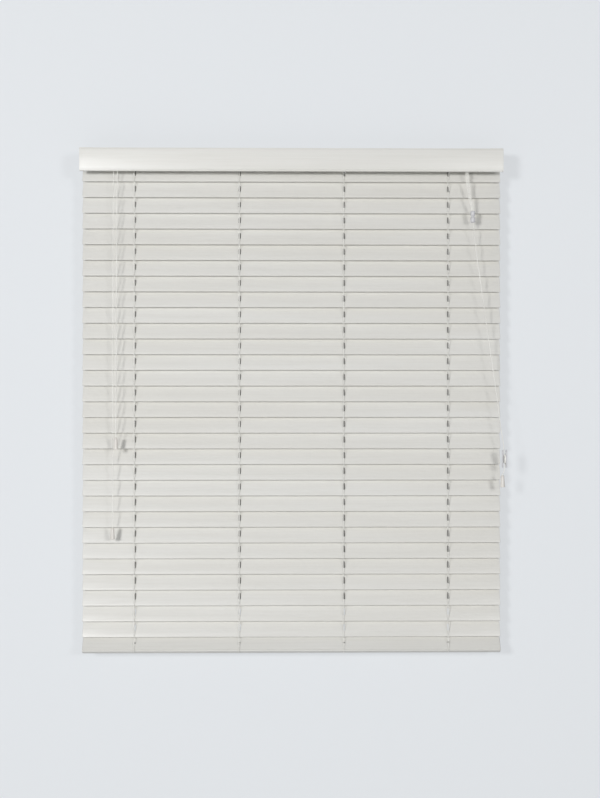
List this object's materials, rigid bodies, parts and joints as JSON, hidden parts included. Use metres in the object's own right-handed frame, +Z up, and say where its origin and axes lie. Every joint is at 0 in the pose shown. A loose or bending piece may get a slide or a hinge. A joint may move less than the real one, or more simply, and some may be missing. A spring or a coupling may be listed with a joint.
{
  "type": "venetian blind",
  "caption": "Wide-slat venetian blind with a box-bracketed headrail, valance, corded tilter and lift, cord ladders, weighted bottom rail, tassels and a wall cleat.",
  "frame": {"origin": "middle of the four bracket screw holes, on the top face of the brackets that meets the ceiling of the recess", "axes": "+X along the slats to the pull cord side, -Y the room side, +Z up"},
  "size_m": [1.187, 0.0875, 1.4114],
  "materials": {
    "painted_wood": "satin paint",
    "plastic": "moulded",
    "steel": "enamelled and zinc-plated sheet",
    "cord": "braided polyester"
  },
  "bodies": {
    "headrail_assembly": {"headrail": "steel", "mounting_brackets": "steel", "bracket_covers": "plastic", "valance": "painted_wood", "valance_clips": "plastic", "ladder_cradles": "plastic", "tilter_housing": "plastic", "cord_lock_housing": "plastic", "lift_cords": "cord", "tilt_cords": "cord", "pull_cord": "cord", "cleat_winding": "cord", "pull_tassel": "plastic", "cord_cleat": "plastic"},
    "tilt_shaft": {"tilt_rod": "steel", "ladder_drums": "plastic", "worm_gear": "plastic"},
    "worm_shaft": {"tilter_worm": "plastic"},
    "lift_stage_28": {"lift_cord_28": "cord"},
    "lift_stage_29": {"lift_cord_29": "cord"},
    "lift_stage_30": {"lift_cord_30": "cord"},
    "lifted_end": {"lift_cord_ends": "cord"},
    "slat_01": {"slat_01": "painted_wood"},
    "slat_02": {"slat_02": "painted_wood"},
    "slat_03": {"slat_03": "painted_wood"},
    "slat_04": {"slat_04": "painted_wood"},
    "slat_05": {"slat_05": "painted_wood"},
    "slat_06": {"slat_06": "painted_wood"},
    "slat_07": {"slat_07": "painted_wood"},
    "slat_08": {"slat_08": "painted_wood"},
    "slat_09": {"slat_09": "painted_wood"},
    "slat_10": {"slat_10": "painted_wood"},
    "slat_11": {"slat_11": "painted_wood"},
    "slat_12": {"slat_12": "painted_wood"},
    "slat_13": {"slat_13": "painted_wood"},
    "slat_14": {"slat_14": "painted_wood"},
    "slat_15": {"slat_15": "painted_wood"},
    "slat_16": {"slat_16": "painted_wood"},
    "slat_17": {"slat_17": "painted_wood"},
    "slat_18": {"slat_18": "painted_wood"},
    "slat_19": {"slat_19": "painted_wood"},
    "slat_20": {"slat_20": "painted_wood"},
    "slat_21": {"slat_21": "painted_wood"},
    "slat_22": {"slat_22": "painted_wood"},
    "slat_23": {"slat_23": "painted_wood"},
    "slat_24": {"slat_24": "painted_wood"},
    "slat_25": {"slat_25": "painted_wood"},
    "slat_26": {"slat_26": "painted_wood"},
    "slat_27": {"slat_27": "painted_wood"},
    "slat_28": {"slat_28": "painted_wood"},
    "slat_29": {"slat_29": "painted_wood"},
    "slat_30": {"slat_30": "painted_wood"},
    "rail": {"bottom_rail": "painted_wood", "rail_plugs": "plastic"},
    "ladder_front": {"ladder_front": "cord"},
    "ladder_rear": {"ladder_rear": "cord"},
    "left_tassel": {"tilt_tassel_left": "plastic"},
    "right_tassel": {"tilt_tassel_right": "plastic"},
    "condenser": {"cord_condenser": "plastic"},
    "lock_roller": {"cord_lock_roller": "steel"}
  },
  "joints": [
    {"name": "tilt", "type": "hinge", "parent": "headrail_assembly", "child": "tilt_shaft", "pos_m": [0, 0, -0.017], "axis": [-1, 0, 0], "range_deg": [0, 130], "deforming": ["tilt_cords", "ladder_front", "ladder_rear", "lift_cord_ends"]},
    {"name": "worm_turn", "type": "hinge", "parent": "headrail_assembly", "child": "worm_shaft", "pos_m": [-0.4905, 0, -0.0275], "axis": [0, 1, 0], "range_deg": [0, 1820]},
    {"name": "rail_lift", "type": "slide", "parent": "headrail_assembly", "child": "lifted_end", "axis": [0, 0, 1], "range_m": [0, 0.116], "deforming": ["lift_cords", "pull_cord", "lift_cord_28", "lift_cord_29", "lift_cord_30"]},
    {"name": "slat_lift_28", "type": "slide", "parent": "headrail_assembly", "child": "lift_stage_28", "axis": [0, 0, 1], "range_m": [0, 0.034]},
    {"name": "slat_lift_29", "type": "slide", "parent": "headrail_assembly", "child": "lift_stage_29", "axis": [0, 0, 1], "range_m": [0, 0.068]},
    {"name": "slat_lift_30", "type": "slide", "parent": "headrail_assembly", "child": "lift_stage_30", "axis": [0, 0, 1], "range_m": [0, 0.102]},
    {"name": "slat_tilt_01", "type": "hinge", "parent": "headrail_assembly", "child": "slat_01", "pos_m": [0, 0, -0.0674], "axis": [-1, 0, 0], "range_deg": [0, 140]},
    {"name": "slat_tilt_02", "type": "hinge", "parent": "headrail_assembly", "child": "slat_02", "pos_m": [0, 0, -0.1114], "axis": [-1, 0, 0], "range_deg": [0, 140]},
    {"name": "slat_tilt_03", "type": "hinge", "parent": "headrail_assembly", "child": "slat_03", "pos_m": [0, 0, -0.1554], "axis": [-1, 0, 0], "range_deg": [0, 140]},
    {"name": "slat_tilt_04", "type": "hinge", "parent": "headrail_assembly", "child": "slat_04", "pos_m": [0, 0, -0.1994], "axis": [-1, 0, 0], "range_deg": [0, 140]},
    {"name": "slat_tilt_05", "type": "hinge", "parent": "headrail_assembly", "child": "slat_05", "pos_m": [0, 0, -0.2434], "axis": [-1, 0, 0], "range_deg": [0, 140]},
    {"name": "slat_tilt_06", "type": "hinge", "parent": "headrail_assembly", "child": "slat_06", "pos_m": [0, 0, -0.2874], "axis": [-1, 0, 0], "range_deg": [0, 140]},
    {"name": "slat_tilt_07", "type": "hinge", "parent": "headrail_assembly", "child": "slat_07", "pos_m": [0, 0, -0.3314], "axis": [-1, 0, 0], "range_deg": [0, 140]},
    {"name": "slat_tilt_08", "type": "hinge", "parent": "headrail_assembly", "child": "slat_08", "pos_m": [0, 0, -0.3754], "axis": [-1, 0, 0], "range_deg": [0, 140]},
    {"name": "slat_tilt_09", "type": "hinge", "parent": "headrail_assembly", "child": "slat_09", "pos_m": [0, 0, -0.4194], "axis": [-1, 0, 0], "range_deg": [0, 140]},
    {"name": "slat_tilt_10", "type": "hinge", "parent": "headrail_assembly", "child": "slat_10", "pos_m": [0, 0, -0.4634], "axis": [-1, 0, 0], "range_deg": [0, 140]},
    {"name": "slat_tilt_11", "type": "hinge", "parent": "headrail_assembly", "child": "slat_11", "pos_m": [0, 0, -0.5074], "axis": [-1, 0, 0], "range_deg": [0, 140]},
    {"name": "slat_tilt_12", "type": "hinge", "parent": "headrail_assembly", "child": "slat_12", "pos_m": [0, 0, -0.5514], "axis": [-1, 0, 0], "range_deg": [0, 140]},
    {"name": "slat_tilt_13", "type": "hinge", "parent": "headrail_assembly", "child": "slat_13", "pos_m": [0, 0, -0.5954], "axis": [-1, 0, 0], "range_deg": [0, 140]},
    {"name": "slat_tilt_14", "type": "hinge", "parent": "headrail_assembly", "child": "slat_14", "pos_m": [0, 0, -0.6394], "axis": [-1, 0, 0], "range_deg": [0, 140]},
    {"name": "slat_tilt_15", "type": "hinge", "parent": "headrail_assembly", "child": "slat_15", "pos_m": [0, 0, -0.6834], "axis": [-1, 0, 0], "range_deg": [0, 140]},
    {"name": "slat_tilt_16", "type": "hinge", "parent": "headrail_assembly", "child": "slat_16", "pos_m": [0, 0, -0.7274], "axis": [-1, 0, 0], "range_deg": [0, 140]},
    {"name": "slat_tilt_17", "type": "hinge", "parent": "headrail_assembly", "child": "slat_17", "pos_m": [0, 0, -0.7714], "axis": [-1, 0, 0], "range_deg": [0, 140]},
    {"name": "slat_tilt_18", "type": "hinge", "parent": "headrail_assembly", "child": "slat_18", "pos_m": [0, 0, -0.8154], "axis": [-1, 0, 0], "range_deg": [0, 140]},
    {"name": "slat_tilt_19", "type": "hinge", "parent": "headrail_assembly", "child": "slat_19", "pos_m": [0, 0, -0.8594], "axis": [-1, 0, 0], "range_deg": [0, 140]},
    {"name": "slat_tilt_20", "type": "hinge", "parent": "headrail_assembly", "child": "slat_20", "pos_m": [0, 0, -0.9034], "axis": [-1, 0, 0], "range_deg": [0, 140]},
    {"name": "slat_tilt_21", "type": "hinge", "parent": "headrail_assembly", "child": "slat_21", "pos_m": [0, 0, -0.9474], "axis": [-1, 0, 0], "range_deg": [0, 140]},
    {"name": "slat_tilt_22", "type": "hinge", "parent": "headrail_assembly", "child": "slat_22", "pos_m": [0, 0, -0.9914], "axis": [-1, 0, 0], "range_deg": [0, 140]},
    {"name": "slat_tilt_23", "type": "hinge", "parent": "headrail_assembly", "child": "slat_23", "pos_m": [0, 0, -1.0354], "axis": [-1, 0, 0], "range_deg": [0, 140]},
    {"name": "slat_tilt_24", "type": "hinge", "parent": "headrail_assembly", "child": "slat_24", "pos_m": [0, 0, -1.0794], "axis": [-1, 0, 0], "range_deg": [0, 140]},
    {"name": "slat_tilt_25", "type": "hinge", "parent": "headrail_assembly", "child": "slat_25", "pos_m": [0, 0, -1.1234], "axis": [-1, 0, 0], "range_deg": [0, 140]},
    {"name": "slat_tilt_26", "type": "hinge", "parent": "headrail_assembly", "child": "slat_26", "pos_m": [0, 0, -1.1674], "axis": [-1, 0, 0], "range_deg": [0, 140]},
    {"name": "slat_tilt_27", "type": "hinge", "parent": "headrail_assembly", "child": "slat_27", "pos_m": [0, 0, -1.2114], "axis": [-1, 0, 0], "range_deg": [0, 140]},
    {"name": "slat_tilt_28", "type": "hinge", "parent": "lift_stage_28", "child": "slat_28", "pos_m": [0, 0, -1.2554], "axis": [-1, 0, 0], "range_deg": [0, 140]},
    {"name": "slat_tilt_29", "type": "hinge", "parent": "lift_stage_29", "child": "slat_29", "pos_m": [0, 0, -1.2994], "axis": [-1, 0, 0], "range_deg": [0, 140]},
    {"name": "slat_tilt_30", "type": "hinge", "parent": "lift_stage_30", "child": "slat_30", "pos_m": [0, 0, -1.3434], "axis": [-1, 0, 0], "range_deg": [0, 140]},
    {"name": "rail_tilt", "type": "hinge", "parent": "lifted_end", "child": "rail", "pos_m": [0, 0, -1.3874], "axis": [-1, 0, 0], "range_deg": [0, 112]},
    {"name": "ladder_front_swing", "type": "hinge", "parent": "tilt_shaft", "child": "ladder_front", "pos_m": [0, -0.01126, -0.04115], "axis": [1, 0, 0], "range_deg": [0, 130]},
    {"name": "ladder_rear_swing", "type": "hinge", "parent": "tilt_shaft", "child": "ladder_rear", "pos_m": [0, 0.01126, 0.00715], "axis": [1, 0, 0], "range_deg": [0, 130]},
    {"name": "tassel_left_pull", "type": "slide", "parent": "headrail_assembly", "child": "left_tassel", "axis": [0, 0, 1], "range_m": [0, 0.25]},
    {"name": "tassel_right_pull", "type": "slide", "parent": "headrail_assembly", "child": "right_tassel", "axis": [0, 0, -1], "range_m": [0, 0.25]},
    {"name": "condenser_pull", "type": "slide", "parent": "headrail_assembly", "child": "condenser", "axis": [0.1216, -0.0195, -0.9924], "range_m": [0, 0.116]},
    {"name": "lock_release", "type": "slide", "parent": "headrail_assembly", "child": "lock_roller", "axis": [0, 0.5, 0.866], "range_m": [0, 0.005]}
  ],
  "couplings": [
    {"joint": "worm_turn", "follows": "tilt", "ratio": 14},
    {"joint": "slat_lift_28", "follows": "rail_lift", "ratio": 0.2931},
    {"joint": "slat_lift_29", "follows": "rail_lift", "ratio": 0.58621},
    {"joint": "slat_lift_30", "follows": "rail_lift", "ratio": 0.87931},
    {"joint": "slat_tilt_01", "follows": "tilt", "ratio": 1.0769},
    {"joint": "slat_tilt_02", "follows": "tilt", "ratio": 1.0769},
    {"joint": "slat_tilt_03", "follows": "tilt", "ratio": 1.0769},
    {"joint": "slat_tilt_04", "follows": "tilt", "ratio": 1.0769},
    {"joint": "slat_tilt_05", "follows": "tilt", "ratio": 1.0769},
    {"joint": "slat_tilt_06", "follows": "tilt", "ratio": 1.0769},
    {"joint": "slat_tilt_07", "follows": "tilt", "ratio": 1.0769},
    {"joint": "slat_tilt_08", "follows": "tilt", "ratio": 1.0769},
    {"joint": "slat_tilt_09", "follows": "tilt", "ratio": 1.0769},
    {"joint": "slat_tilt_10", "follows": "tilt", "ratio": 1.0769},
    {"joint": "slat_tilt_11", "follows": "tilt", "ratio": 1.0769},
    {"joint": "slat_tilt_12", "follows": "tilt", "ratio": 1.0769},
    {"joint": "slat_tilt_13", "follows": "tilt", "ratio": 1.0769},
    {"joint": "slat_tilt_14", "follows": "tilt", "ratio": 1.0769},
    {"joint": "slat_tilt_15", "follows": "tilt", "ratio": 1.0769},
    {"joint": "slat_tilt_16", "follows": "tilt", "ratio": 1.0769},
    {"joint": "slat_tilt_17", "follows": "tilt", "ratio": 1.0769},
    {"joint": "slat_tilt_18", "follows": "tilt", "ratio": 1.0769},
    {"joint": "slat_tilt_19", "follows": "tilt", "ratio": 1.0769},
    {"joint": "slat_tilt_20", "follows": "tilt", "ratio": 1.0769},
    {"joint": "slat_tilt_21", "follows": "tilt", "ratio": 1.0769},
    {"joint": "slat_tilt_22", "follows": "tilt", "ratio": 1.0769},
    {"joint": "slat_tilt_23", "follows": "tilt", "ratio": 1.0769},
    {"joint": "slat_tilt_24", "follows": "tilt", "ratio": 1.0769},
    {"joint": "slat_tilt_25", "follows": "tilt", "ratio": 1.0769},
    {"joint": "slat_tilt_26", "follows": "tilt", "ratio": 1.0769},
    {"joint": "slat_tilt_27", "follows": "tilt", "ratio": 1.0769},
    {"joint": "slat_tilt_28", "follows": "tilt", "ratio": 1.0769},
    {"joint": "slat_tilt_29", "follows": "tilt", "ratio": 1.0769},
    {"joint": "slat_tilt_30", "follows": "tilt", "ratio": 1.0769},
    {"joint": "rail_tilt", "follows": "tilt", "ratio": 0.86154},
    {"joint": "ladder_front_swing", "follows": "tilt", "ratio": 1},
    {"joint": "ladder_rear_swing", "follows": "tilt", "ratio": 1},
    {"joint": "tassel_left_pull", "follows": "tilt", "m_per_rad": 0.11018},
    {"joint": "tassel_right_pull", "follows": "tilt", "m_per_rad": 0.11018},
    {"joint": "condenser_pull", "follows": "rail_lift", "ratio": 1}
  ]
}
